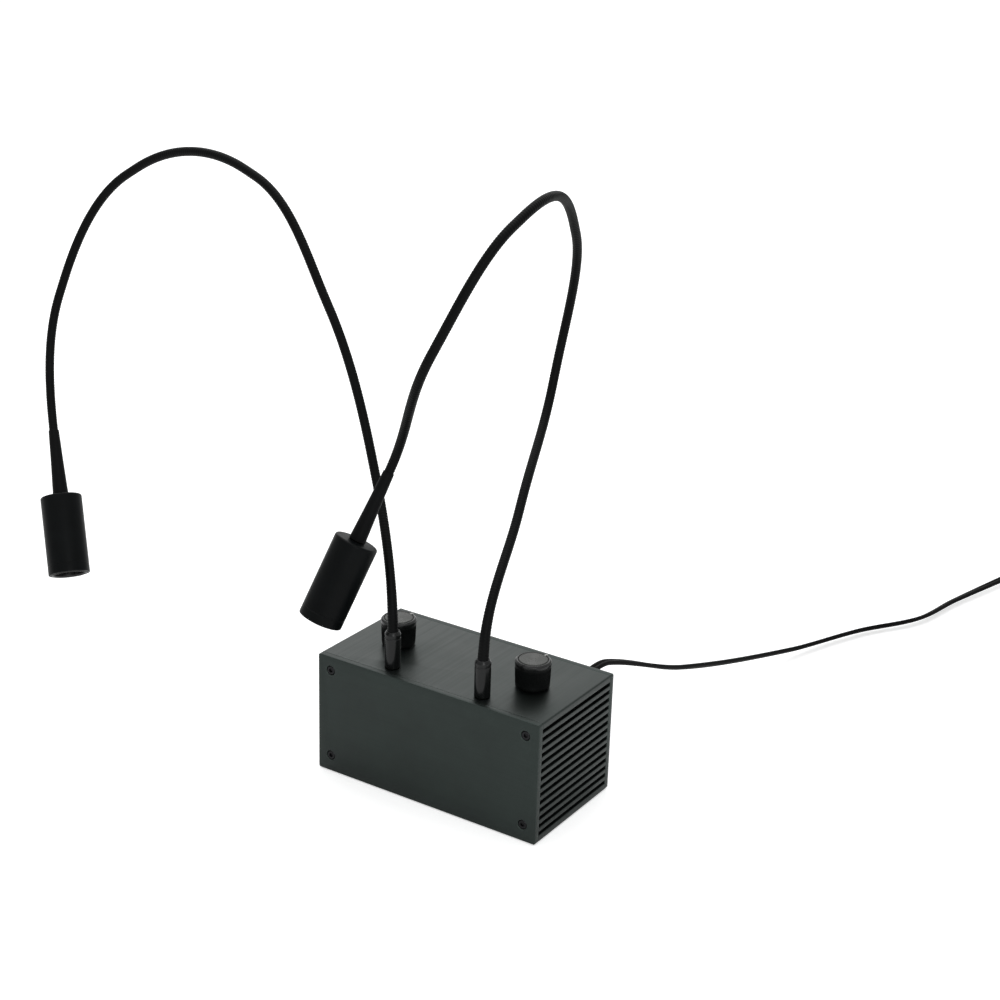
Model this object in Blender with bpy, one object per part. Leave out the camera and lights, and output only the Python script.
"""Twin gooseneck bench light: a finned aluminium driver housing with two dimmer knobs, two jointed
gooseneck arms that each carry a cylindrical lamp head, and a flat twin low-voltage cord with a
barrel plug.

The scene is in metres and the sizes below in millimetres. +Z is up, the front plate faces -Y and
"right" is +X. The origin is the middle of the rubber foot's underside.
"""

import math
from collections import namedtuple

import bmesh
import bpy
from mathutils import Matrix, Vector

MM = 0.001
POLE_R = 1e-6  # a ring smaller than this becomes a single vertex
SIDES = (("left", -1), ("right", 1))

# Housing: an extrusion along Y, finned on both sides and closed by a plate at each end
HALF_W = 65.0
BODY_HALF_Y = 31.0
SKIRT_Z0, BODY_Z1 = 0.4, 64.0
EDGE_CHAMFER = 0.8
GROOVES = 14
GROOVE_FIRST, GROOVE_LAST = 4.4, 59.0  # middles of the end grooves, down from the top
GROOVE_W, GROOVE_D = 2.1, 5.0
GROOVE_TAPER = 0.15  # how much each wall of a groove leans in by its bottom

# Rubber foot and the pocket under the floor that takes it
PAD_HALF_X, PAD_HALF_Y, PAD_T = 60.0, 29.0, 1.2
PAD_GAP = 0.3
POCKET_Z1 = 1.5

# Cavity, with a slot along each side wall for the board
WALL = 3.0
FLOOR_Z, ROOF_Z = POCKET_Z1 + WALL, BODY_Z1 - WALL
CAVITY_HALF, CAVITY_CHAMFER = 55.0, 7.0
SLOT_D = 1.6
SLOT_Z0, SLOT_Z1 = 11.8, 14.0
OVERRUN = 1.0  # how far cutters start beyond the surface they cut

# End plates
PLATE_T, PLATE_GAP = 3.0, 0.25
PLATE_BEVEL = 0.4
PLATE_Y = BODY_HALF_Y + PLATE_GAP + PLATE_T / 2
PLATE_FACE_Y = PLATE_Y + PLATE_T / 2

# Plate screws, sunk into the plate faces
SCREW_INSET = 7.5
SCREW_X = HALF_W - SCREW_INSET
SCREW_ZS = (("low", POCKET_Z1 + SCREW_INSET), ("high", BODY_Z1 - SCREW_INSET))
SCREW_HOLE_R, SCREW_HOLE_START, SCREW_HOLE_L = 1.5, 11.0, 13.0
SCREW_SINK, SCREW_SINK_R = 1.6, 2.6

# Driver board, held in the two slots
BOARD_HALF_X = CAVITY_HALF + SLOT_D - 0.4
BOARD_HALF_Y, BOARD_HALF_T = 26.0, 0.8
BOARD_Z = (SLOT_Z0 + SLOT_Z1) / 2
PART_Z = BOARD_Z + BOARD_HALF_T + 0.15

# Knobs and arm feet on the roof
KNOB_X, KNOB_Y, KNOB_HOLE_R = 40.0, -1.2, 3.8
FERRULE_X, FERRULE_Y, FERRULE_HOLE_R = 26.5, -24.6, 3.6
FERRULE_R = 4.0
PIVOT_Z = 85.0
ROOF_DRILL_L = 6.0

# Gooseneck links
TUBE_R, DOME_R, CUP_R, COLLAR_R = 2.4, 2.3, 2.6, 3.1
RIB_PITCH, RIB_DEPTH = 7.0, 0.2
STUB_IN, STUB_OUT = 5.0, 3.0  # straight lengths at a link's foot and end
COLLAR = ((COLLAR_R, 0.0), (COLLAR_R, 3.4), (TUBE_R, 4.4))  # (radius, distance from the foot)
TUBE_SIDES = 10
ARM_LINKS = 6
ARM_STEP = 4.0  # spacing of the points that trace an arm's curve

# Each arm at rest. It rises from its foot, bends through the points and ends at the lamp's hinge.
# The lamp points climb degrees above the level, at bearing degrees from +X towards +Y.
Arm = namedtuple("Arm", "bends hinge climb bearing")
ARMS = {
    "left": Arm(
        bends=((-50, 0, 135), (-149, 29, 278), (-263, 25, 256)),
        hinge=(-263, -15, 130),
        climb=-58,
        bearing=-38,
    ),
    "right": Arm(
        bends=((25, -10, 122), (-11, 86, 169), (11, 66, 282), (24, -37, 275)),
        hinge=(-35, -20, 159),
        climb=-64,
        bearing=-122,
    ),
}

# Lamp head
BOOT_L = 33.0  # from the hinge to the back of the head
HEAD_R, HEAD_L = 11.0, 43.0
HEAD_WALL = 1.3
GRUB_FROM_BACK = 9.0
GRUB_HOLE_R, GRUB_HOLE_START, GRUB_HOLE_L = 1.5, 7.5, 6.0

# Cord: leaves the rear plate, sinks to the bench, bends outwards and runs on behind the housing
CORD_X, CORD_Z, CORD_HOLE_R, CORD_HOLE_L = 46.0, 56.0, 4.0, 7.0
CORD_BENDS = (
    (CORD_X, 24, CORD_Z),
    (CORD_X, 40, CORD_Z),
    (47, 60, 55),
    (57, 124, 30),
    (74, 226, 6),
    (94, 282, 3.2),
    (116, 320, 3.2),
    (124, 360, 3.2),
    (152, 462, 5.6),
)
CORD_STEP = 9.5
CORD_SIDES = 10
CORD_HALF_W, CORD_HALF_T = 2.5, 1.25
WAIST_HALF = 0.4  # the part of the half width that the waist takes up
WAIST_SCALE, LOBE_SCALE = 0.92, 1.1  # thickness at the waist and over the two wires
CORD_TWISTS = ((90.0, 150.0, 80), (300.0, 120.0, 100))  # (start y, length along y, degrees)
PLUG_OVERLAP = 6.0

# Finishes
Finish = namedtuple("Finish", "colour roughness metallic")
BLACK_ANODISED = Finish(colour=(0.045, 0.052, 0.050), roughness=0.42, metallic=0.75)
BLACK_STEEL = Finish(colour=(0.03, 0.03, 0.032), roughness=0.35, metallic=0.9)
STEEL = Finish(colour=(0.55, 0.55, 0.56), roughness=0.3, metallic=1.0)
RUBBER = Finish(colour=(0.02, 0.02, 0.02), roughness=0.8, metallic=0.0)
CORD_BLACK = Finish(colour=(0.03, 0.03, 0.03), roughness=0.6, metallic=0.0)
BOARD_GREEN = Finish(colour=(0.03, 0.16, 0.06), roughness=0.5, metallic=0.0)
CAPACITOR_BLUE = Finish(colour=(0.05, 0.06, 0.16), roughness=0.35, metallic=0.1)
INDUCTOR_GREY = Finish(colour=(0.07, 0.065, 0.06), roughness=0.6, metallic=0.2)
KNOB_BLACK = Finish(colour=(0.035, 0.035, 0.037), roughness=0.38, metallic=0.0)
CAP_GREY = Finish(colour=(0.20, 0.20, 0.21), roughness=0.3, metallic=0.85)
DIMMER_GREEN = Finish(colour=(0.09, 0.14, 0.12), roughness=0.5, metallic=0.2)
ARM_BLACK = Finish(colour=(0.018, 0.018, 0.019), roughness=0.45, metallic=0.4)
HEAD_BLACK = Finish(colour=(0.022, 0.022, 0.024), roughness=0.4, metallic=0.6)
LED_BOARD_WHITE = Finish(colour=(0.75, 0.76, 0.74), roughness=0.4, metallic=0.3)
EMITTER_YELLOW = Finish(colour=(0.9, 0.78, 0.25), roughness=0.35, metallic=0.0)
LENS_CLEAR = Finish(colour=(0.85, 0.88, 0.9), roughness=0.08, metallic=0.0)


# ---------------------------------------------------------------- objects and frames
def make_material(name, finish):
    mat = bpy.data.materials.new(name)
    mat.use_nodes = True
    shader = mat.node_tree.nodes["Principled BSDF"]
    shader.inputs["Base Color"].default_value = (*finish.colour, 1.0)
    shader.inputs["Roughness"].default_value = finish.roughness
    shader.inputs["Metallic"].default_value = finish.metallic
    mat.diffuse_color = (*finish.colour, 1.0)
    return mat


def new_object(name, bm, frame, finish, smooth):
    """Adds bm, in millimetres, as an object whose own frame is given in metres."""
    bmesh.ops.recalc_face_normals(bm, faces=bm.faces)
    bmesh.ops.scale(bm, vec=(MM, MM, MM), verts=bm.verts)
    mesh = bpy.data.meshes.new(name)
    bm.to_mesh(mesh)
    bm.free()
    for poly in mesh.polygons:
        poly.use_smooth = smooth
    obj = bpy.data.objects.new(name, mesh)
    obj.matrix_world = frame
    bpy.context.scene.collection.objects.link(obj)
    if finish is not None:
        mesh.materials.append(make_material(name + "_finish", finish))
    return obj


def at(x, y, z):
    """An upright frame at a point in millimetres."""
    return Matrix.Translation(Vector((x, y, z)) * MM)


def along(origin, direction):
    """A frame at origin, in millimetres, with its Z along direction."""
    turn = Vector(direction).normalized().to_track_quat("Z", "Y").to_matrix().to_4x4()
    return Matrix.Translation(Vector(origin) * MM) @ turn


# ---------------------------------------------------------------- solids
def skin_rings(bm, rings, loop=False):
    """Joins rings of vertices in turn, then caps the two ends or, in a loop, joins them."""
    pairs = list(zip(rings, rings[1:]))
    if loop:
        pairs.append((rings[-1], rings[0]))
    for a, b in pairs:
        count = max(len(a), len(b))
        for i in range(count):
            j = (i + 1) % count
            if len(a) == 1:
                bm.faces.new((a[0], b[j], b[i]))
            elif len(b) == 1:
                bm.faces.new((a[i], a[j], b[0]))
            else:
                bm.faces.new((a[i], a[j], b[j], b[i]))
    if not loop:
        for end in (rings[0], rings[-1]):
            if len(end) > 2:
                bm.faces.new(end)


def add_ring(bm, centre, across, up, radius, sides):
    """A ring of vertices in the plane of across and up, or one vertex where radius vanishes."""
    if radius < POLE_R:
        return [bm.verts.new(centre)]
    angles = [2 * math.pi * i / sides for i in range(sides)]
    return [
        bm.verts.new(centre + across * (radius * math.cos(q)) + up * (radius * math.sin(q)))
        for q in angles
    ]


def lathe(name, profile, frame, finish, sides=16, loop=False, smooth=True):
    """Turns (radius, height) pairs about Z. A loop profile makes a ring with a hole through it."""
    bm = bmesh.new()
    x_axis, y_axis = Vector((1, 0, 0)), Vector((0, 1, 0))
    rings = [
        add_ring(bm, Vector((0, 0, z)), x_axis, y_axis, radius, sides) for radius, z in profile
    ]
    skin_rings(bm, rings, loop)
    return new_object(name, bm, frame, finish, smooth)


def box(name, half, frame, finish):
    bm = bmesh.new()
    bmesh.ops.create_cube(bm, size=2.0)
    bmesh.ops.scale(bm, vec=half, verts=bm.verts)
    return new_object(name, bm, frame, finish, False)


def prism(name, right_half, half_y, finish):
    """Extrudes along Y an outline whose right half is (x, z) points from the bottom up."""
    outline = right_half + [(-x, z) for x, z in reversed(right_half)]
    bm = bmesh.new()
    ends = [[bm.verts.new((x, y, z)) for x, z in outline] for y in (-half_y, half_y)]
    skin_rings(bm, ends)
    return new_object(name, bm, at(0, 0, 0), finish, False)


def arc_profile(radius, latitudes):
    """(radius, height) pairs on a ball, at latitudes in degrees."""
    angles = [math.radians(latitude) for latitude in latitudes]
    return [(radius * math.cos(q), radius * math.sin(q)) for q in angles]


# A dome sits in the cup of the piece that follows it
DOME = arc_profile(DOME_R, (0, 35, 65, 90))
CUP = arc_profile(CUP_R, (90, 60, 30, 0))


# ---------------------------------------------------------------- cutting
def cut(obj, tool):
    """Takes tool, kept as a hidden helper, out of obj."""
    tool.hide_render = True
    tool.display_type = "WIRE"
    mod = obj.modifiers.new("cut_" + tool.name, "BOOLEAN")
    mod.operation = "DIFFERENCE"
    mod.solver = "EXACT"
    mod.object = tool


def drill(obj, name, radius, start, direction, length):
    profile = [(radius, 0), (radius, length)]
    cut(obj, lathe(name, profile, along(start, direction), None, sides=12))


# ---------------------------------------------------------------- curves
def hermite(p0, slope0, p1, slope1, t):
    return (
        p0 * (2 * t**3 - 3 * t**2 + 1)
        + slope0 * (t**3 - 2 * t**2 + t)
        + p1 * (3 * t**2 - 2 * t**3)
        + slope1 * (t**3 - t**2)
    )


def hermite_direction(p0, slope0, p1, slope1, t):
    derivative = (
        p0 * (6 * t**2 - 6 * t)
        + slope0 * (3 * t**2 - 4 * t + 1)
        + p1 * (6 * t - 6 * t**2)
        + slope1 * (3 * t**2 - 2 * t)
    )
    return derivative.normalized()


def smooth_path(points, step, first=None, last=None):
    """A curve through the points. It passes each one along the chord between its neighbours."""
    points = [Vector(p) for p in points]
    spans = [(b - a).length for a, b in zip(points, points[1:])]
    slopes = [first or (points[1] - points[0]).normalized()]
    for i in range(1, len(points) - 1):
        slopes.append((points[i + 1] - points[i - 1]) / (spans[i - 1] + spans[i]))
    slopes.append(last or (points[-1] - points[-2]).normalized())
    line = []
    for i, span in enumerate(spans):
        count = max(1, round(span / step))
        ends = (points[i], slopes[i] * span, points[i + 1], slopes[i + 1] * span)
        line += [hermite(*ends, k / count) for k in range(count)]
    return line + [points[-1]]


def even_points(line, count):
    """The ends of count equal lengths along a dense line."""
    travelled = [0.0]
    for a, b in zip(line, line[1:]):
        travelled.append(travelled[-1] + (b - a).length)
    out = []
    k = 0
    for i in range(count + 1):
        goal = travelled[-1] * i / count
        while k < len(line) - 2 and travelled[k + 1] < goal:
            k += 1
        part = (goal - travelled[k]) / (travelled[k + 1] - travelled[k])
        out.append(line[k].lerp(line[k + 1], part))
    return out


# ---------------------------------------------------------------- housing
def housing_right_half():
    half = [(HALF_W - EDGE_CHAMFER, SKIRT_Z0), (HALF_W, SKIRT_Z0 + EDGE_CHAMFER)]
    for i in reversed(range(GROOVES)):
        down = GROOVE_FIRST + (GROOVE_LAST - GROOVE_FIRST) * i / (GROOVES - 1)
        z0 = BODY_Z1 - down - GROOVE_W / 2
        z1 = BODY_Z1 - down + GROOVE_W / 2
        half += [
            (HALF_W, z0),
            (HALF_W - GROOVE_D, z0 + GROOVE_TAPER),
            (HALF_W - GROOVE_D, z1 - GROOVE_TAPER),
            (HALF_W, z1),
        ]
    return half + [(HALF_W, BODY_Z1 - EDGE_CHAMFER), (HALF_W - EDGE_CHAMFER, BODY_Z1)]


def cavity_right_half():
    return [
        (CAVITY_HALF - CAVITY_CHAMFER, FLOOR_Z),
        (CAVITY_HALF, FLOOR_Z + CAVITY_CHAMFER),
        (CAVITY_HALF, SLOT_Z0),
        (CAVITY_HALF + SLOT_D, SLOT_Z0),
        (CAVITY_HALF + SLOT_D, SLOT_Z1),
        (CAVITY_HALF, SLOT_Z1),
        (CAVITY_HALF, ROOF_Z - CAVITY_CHAMFER),
        (CAVITY_HALF - CAVITY_CHAMFER, ROOF_Z),
    ]


def build_housing():
    housing = prism("housing", housing_right_half(), BODY_HALF_Y, BLACK_ANODISED)
    cut(housing, prism("cavity_cutter", cavity_right_half(), BODY_HALF_Y + OVERRUN, None))
    pocket_half = (PAD_HALF_X + PAD_GAP, PAD_HALF_Y + PAD_GAP, POCKET_Z1)
    cut(housing, box("pad_pocket", pocket_half, at(0, 0, 0), None))
    for side, sign in SIDES:
        for part, radius, x, y in (
            ("knob", KNOB_HOLE_R, KNOB_X, KNOB_Y),
            ("ferrule", FERRULE_HOLE_R, FERRULE_X, FERRULE_Y),
        ):
            start = (sign * x, y, ROOF_Z - OVERRUN)
            drill(housing, f"{part}_hole_{side}", radius, start, (0, 0, 1), ROOF_DRILL_L)
    return housing


def build_plate(name, sign):
    half = (HALF_W, PLATE_T / 2, (BODY_Z1 - SKIRT_Z0) / 2)
    frame = at(0, sign * PLATE_Y, (SKIRT_Z0 + BODY_Z1) / 2)
    plate = box(name, half, frame, BLACK_ANODISED)
    mod = plate.modifiers.new("edges", "BEVEL")
    mod.width = PLATE_BEVEL * MM
    mod.segments = 2
    mod.limit_method = "ANGLE"
    mod.angle_limit = math.radians(40)
    return plate


def build_screw(tag, housing, plate, x, z, sign):
    """One plate screw, its hole in the housing and its stepped hole in the plate."""
    outward = (0, sign, 0)
    start = (x, sign * (BODY_HALF_Y - SCREW_HOLE_START), z)
    drill(housing, "hole_" + tag, SCREW_HOLE_R, start, outward, SCREW_HOLE_L)

    plate_hole_r = SCREW_HOLE_R + 0.1
    start_y = BODY_HALF_Y - OVERRUN
    step = PLATE_FACE_Y - SCREW_SINK - start_y
    profile = [(plate_hole_r, 0), (plate_hole_r, step), (SCREW_SINK_R, step)]
    profile.append((SCREW_SINK_R, step + 3))
    frame = along((x, sign * start_y, z), outward)
    cut(plate, lathe("plate_hole_" + tag, profile, frame, None, sides=12))

    # (radius, height out from the plate's face)
    profile = [(1.25, -12.0), (1.25, -1.3), (2.3, -1.3), (2.3, -0.3), (2.0, -0.1)]
    frame = along((x, sign * PLATE_FACE_Y, z), outward)
    lathe("screw_" + tag, profile, frame, BLACK_STEEL, sides=12)


def build_plates_and_screws(housing):
    for face, face_sign in (("front", -1), ("rear", 1)):
        plate = build_plate(face + "_plate", face_sign)
        for side, sign in SIDES:
            for level, z in SCREW_ZS:
                tag = f"{face}_{side}_{level}"
                build_screw(tag, housing, plate, sign * SCREW_X, z, face_sign)
        if face == "rear":
            start = (CORD_X, BODY_HALF_Y - OVERRUN, CORD_Z)
            drill(plate, "cord_hole", CORD_HOLE_R, start, (0, 1, 0), CORD_HOLE_L)


def build_base_pad():
    box("base_pad", (PAD_HALF_X, PAD_HALF_Y, PAD_T / 2), at(0, 0, PAD_T / 2), RUBBER)


# ---------------------------------------------------------------- electronics
def build_electronics():
    board_half = (BOARD_HALF_X, BOARD_HALF_Y, BOARD_HALF_T)
    box("driver_board", board_half, at(0, 0, BOARD_Z), BOARD_GREEN)
    # (radius, height above the parts' base)
    capacitor = [(5.0, 0), (5.0, 14.5), (4.6, 15.0)]
    lathe("filter_capacitor", capacitor, at(30, 8, PART_Z), CAPACITOR_BLUE, sides=14)
    inductor = [(6.0, 0), (6.0, 2.0), (4.6, 2.6), (4.6, 6.0), (6.0, 6.6), (6.0, 8.4)]
    lathe("power_inductor", inductor, at(-12, 2, PART_Z), INDUCTOR_GREY, sides=14)


# ---------------------------------------------------------------- dimmers and knobs
# (radius, height above the bench)
DIMMER_BODY = (
    (0.0, 49.0), (7.0, 49.0), (7.0, 59.0), (3.3, 59.0),
    (3.3, 66.4), (1.95, 66.4), (1.95, 51.5), (0.0, 51.5),
)
DIMMER_NUT = ((3.45, 64.2), (5.2, 64.2), (5.2, 66.0), (3.45, 66.0))
DIMMER_SHAFT = ((0.0, 51.9), (1.55, 51.9), (1.55, 74.3), (1.2, 74.7), (0.0, 74.7))
KNOB = (
    (0.0, 75.0), (1.75, 75.0), (1.75, 68.0), (6.2, 68.0),  # shaft bore and hollow underside
    (6.2, 64.6), (8.5, 64.6), (8.7, 70.5), (8.9, 75.4),  # flared skirt
    (8.65, 75.7), (8.65, 76.1), (9.0, 76.4), (9.0, 77.9),  # groove below the rim
    (8.5, 78.4), (7.5, 78.4), (7.5, 77.4), (0.0, 77.4),  # rim and the seat of the cap
)
KNOB_CAP = ((0.0, 77.55), (7.25, 77.55), (7.25, 78.3), (6.9, 78.6), (0.0, 78.6))


def build_dimmer(side, sign):
    frame = at(sign * KNOB_X, KNOB_Y, 0)
    lathe(f"dimmer_body_{side}", DIMMER_BODY, frame, DIMMER_GREEN)
    lathe(f"dimmer_nut_{side}", DIMMER_NUT, frame, STEEL, sides=12, loop=True, smooth=False)
    lathe(f"dimmer_shaft_{side}", DIMMER_SHAFT, frame, STEEL, sides=12)
    lathe(f"knob_{side}", KNOB, frame, KNOB_BLACK, sides=24)
    lathe(f"knob_cap_{side}", KNOB_CAP, frame, CAP_GREY, sides=24)


# ---------------------------------------------------------------- arms
# (radius, height from the pivot)
FERRULE = [
    (0.0, -28.0), (3.2, -28.0), (3.2, -20.8), (FERRULE_R, -20.8),
    (FERRULE_R, -3.2), (3.3, -1.7), (DOME_R, -1.7), *DOME,
]
FERRULE_NUT = ((3.4, -27.6), (4.8, -27.6), (4.8, -24.3), (3.4, -24.3))


def build_ferrule(side, pivot):
    frame = at(*pivot)
    lathe(f"ferrule_{side}", FERRULE, frame, HEAD_BLACK)
    lathe(f"ferrule_nut_{side}", FERRULE_NUT, frame, STEEL, sides=12, loop=True, smooth=False)


def lamp_axis(arm):
    """The unit direction the lamp points in."""
    climb, bearing = math.radians(arm.climb), math.radians(arm.bearing)
    level = math.cos(climb)
    return Vector((level * math.cos(bearing), level * math.sin(bearing), math.sin(climb)))


def joint_directions(joints, axis):
    """The centre line's direction at each joint: nearly up at the foot, the chords' blend between,
    the lamp's own axis at the last."""
    chords = [b - a for a, b in zip(joints, joints[1:])]
    spans = [chord.length for chord in chords]
    units = [chord.normalized() for chord in chords]
    out = [(Vector((0, 0, 3)) + units[0]).normalized()]
    for i in range(1, len(chords)):
        out.append((units[i - 1] * spans[i] + units[i] * spans[i - 1]).normalized())
    return out + [axis]


def link_line(foot, end, foot_dir, end_dir):
    """(point, direction) pairs down the bowed part of a link, between its straight ends."""
    p0, p1 = foot + foot_dir * STUB_IN, end - end_dir * STUB_OUT
    span = (p1 - p0).length
    turn = foot_dir.angle(end_dir)
    pull = span * (1 + turn * turn / 24)  # close to the length of an arc with this turn
    curve = (p0, foot_dir * pull, p1, end_dir * pull)
    count = max(2, round(span / (RIB_PITCH / 2)))
    steps = [i / count for i in range(count + 1)]
    return [(hermite(*curve, t), hermite_direction(*curve, t)) for t in steps]


def swept_rings(bm, stations, origin):
    """Rings square to (point, direction, radius) stations, each turned as little as possible from
    the one before."""
    previous = stations[0][1]
    across = previous.orthogonal().normalized()
    rings = []
    for point, direction, radius in stations:
        across = previous.rotation_difference(direction) @ across
        across = (across - direction * across.dot(direction)).normalized()
        previous = direction
        up = direction.cross(across)
        rings.append(add_ring(bm, point - origin, across, up, radius, TUBE_SIDES))
    return rings


def build_link(name, foot, end, foot_dir, end_dir):
    """One length of gooseneck. A cup at its foot takes the dome before it, and its own end is a
    dome."""
    stations = [(foot + foot_dir * z, foot_dir, radius) for radius, z in (*CUP, *COLLAR)]
    middle = link_line(foot, end, foot_dir, end_dir)
    radii = [TUBE_R - RIB_DEPTH * (i % 2) for i in range(len(middle) - 1)] + [DOME_R]
    stations += [(*station, radius) for station, radius in zip(middle, radii)]
    stations += [(end + end_dir * z, end_dir, radius) for radius, z in DOME]
    bm = bmesh.new()
    skin_rings(bm, swept_rings(bm, stations, foot))
    new_object(name, bm, at(*foot), ARM_BLACK, True)


def build_arm(side, sign):
    arm = ARMS[side]
    axis = lamp_axis(arm)
    pivot = (sign * FERRULE_X, FERRULE_Y, PIVOT_Z)
    path = smooth_path((pivot, *arm.bends, arm.hinge), ARM_STEP, Vector((0, 0, 1)), axis)
    joints = even_points(path, ARM_LINKS)
    dirs = joint_directions(joints, axis)
    build_ferrule(side, pivot)
    for i in range(ARM_LINKS):
        name = f"gooseneck_{side}_{i + 1}"
        build_link(name, joints[i], joints[i + 1], dirs[i], dirs[i + 1])
    build_lamp(side, joints[-1], axis)


# ---------------------------------------------------------------- lamp heads
# (radius, height from the hinge)
BOOT = [
    *CUP, (COLLAR_R, 0.0), (3.2, 5.0), (3.5, 14.0), (4.1, BOOT_L - 0.3),
    (3.2, BOOT_L - 0.3), (3.2, BOOT_L + 4.5), (0.0, BOOT_L + 4.5),
]
# (radius, height from the back of the head)
SHELL = (
    (3.5, 0.0), (9.8, 0.0), (HEAD_R, 1.2), (HEAD_R, HEAD_L - 0.5),
    (HEAD_R - 0.5, HEAD_L), (HEAD_R - HEAD_WALL, HEAD_L), (HEAD_R - HEAD_WALL, 3.0), (3.5, 3.0),
)
LED_BOARD = ((9.3, 24.0), (9.3, 25.6))
LED_EMITTER = ((2.4, 25.7), (2.4, 26.4), (1.7, 27.1), (0.0, 27.6))
LENS = ((3.6, 28.4), (9.0, 38.6), (9.2, 40.2), (0.0, 40.8))
BEZEL = ((8.2, 41.2), (9.5, 41.2), (9.5, 43.2), (8.9, 43.6), (8.4, 43.4))
# (radius, height out from the shell's side)
GRUB_SCREW = ((1.2, -2.2), (1.2, -0.4), (0.9, -0.1))


def build_lamp(side, hinge, axis):
    """A boot and a lamp head. Every turned piece but the grub screw has its origin at the hinge."""
    frame = along(hinge, axis)

    def head_part(name, profile, finish, sides, loop=False):
        from_hinge = [(radius, BOOT_L + z) for radius, z in profile]
        return lathe(f"{name}_{side}", from_hinge, frame, finish, sides, loop)

    lathe(f"boot_{side}", BOOT, frame, RUBBER)
    shell = head_part("lamp_shell", SHELL, HEAD_BLACK, sides=24, loop=True)

    # The grub screw goes in square to the axis, from the frame's -Y side
    out = frame.to_3x3() @ Vector((0, -1, 0))
    seat = hinge + axis * (BOOT_L + GRUB_FROM_BACK)
    hole_start = seat + out * GRUB_HOLE_START
    drill(shell, f"grub_hole_{side}", GRUB_HOLE_R, hole_start, out, GRUB_HOLE_L)
    screw_frame = along(seat + out * HEAD_R, out)
    lathe(f"lamp_grub_screw_{side}", GRUB_SCREW, screw_frame, BLACK_STEEL, sides=10)

    head_part("led_board", LED_BOARD, LED_BOARD_WHITE, sides=20)
    head_part("led_emitter", LED_EMITTER, EMITTER_YELLOW, sides=12)
    head_part("lens", LENS, LENS_CLEAR, sides=20)
    head_part("bezel", BEZEL, CAP_GREY, sides=20, loop=True)


# ---------------------------------------------------------------- cord and plug
# (radius, height out from the rear plate's face)
GROMMET = (
    (3.0, -5.4), (4.3, -5.4), (4.3, -3.7), (3.7, -3.5), (3.7, 0.25),
    (4.9, 0.3), (4.9, 1.6), (3.6, 3.2), (3.0, 3.2),
)
# (radius, height along the plug)
PLUG_BODY = (
    (0.0, 6.4), (3.05, 6.4), (3.05, 0.0),  # socket round the cord's end
    (3.7, 0.0), (4.2, 6.5), (5.2, 8.0), (5.2, 26.0), (4.7, 27.0), (0.0, 27.0),
)
PLUG_BARREL = ((1.25, 27.3), (2.75, 27.3), (2.75, 36.4), (2.5, 36.8), (1.25, 36.8))


def build_grommet():
    frame = along((CORD_X, PLATE_FACE_Y, CORD_Z), (0, 1, 0))
    lathe("cord_grommet", GROMMET, frame, CORD_BLACK, sides=14, loop=True)


def cord_twist(y):
    """How far the flat cord has rolled about its own run: flat side up at both ends, nearly on edge
    in between."""
    degrees = 0.0
    for start, length, turn in CORD_TWISTS:
        t = min(max((y - start) / length, 0.0), 1.0)
        degrees += turn * (3 * t * t - 2 * t**3)
    return math.radians(degrees)


def cord_section():
    """(across, up) points of the cord's waisted section."""
    section = []
    for k in range(CORD_SIDES):
        angle = 2 * math.pi * (k + 0.5) / CORD_SIDES
        across = math.cos(angle)
        scale = WAIST_SCALE if abs(across) < WAIST_HALF else LOBE_SCALE
        section.append((CORD_HALF_W * across, CORD_HALF_T * math.sin(angle) * scale))
    return section


def build_cord(line):
    start = line[0]
    section = cord_section()
    bm = bmesh.new()
    rings = []
    for i, point in enumerate(line):
        run = (line[min(i + 1, len(line) - 1)] - line[max(i - 1, 0)]).normalized()
        level = run.cross(Vector((0, 0, 1))).normalized()
        across = Matrix.Rotation(cord_twist(point.y), 3, run) @ level
        up = across.cross(run)
        rings.append([bm.verts.new(point - start + across * u + up * v) for u, v in section])
    skin_rings(bm, rings)
    new_object("power_cord", bm, at(*start), CORD_BLACK, True)


def build_plug(line):
    run = (line[-1] - line[-2]).normalized()
    frame = along(line[-1] - run * PLUG_OVERLAP, run)
    lathe("plug_body", PLUG_BODY, frame, CORD_BLACK, sides=14)
    lathe("plug_barrel", PLUG_BARREL, frame, STEEL, sides=14, loop=True)


# ---------------------------------------------------------------- assembly
def main():
    for obj in list(bpy.data.objects):
        bpy.data.objects.remove(obj, do_unlink=True)
    build_plates_and_screws(build_housing())
    build_base_pad()
    build_electronics()
    for side, sign in SIDES:
        build_dimmer(side, sign)
        build_arm(side, sign)
    build_grommet()
    cord_line = smooth_path(CORD_BENDS, CORD_STEP)
    build_cord(cord_line)
    build_plug(cord_line)


main()
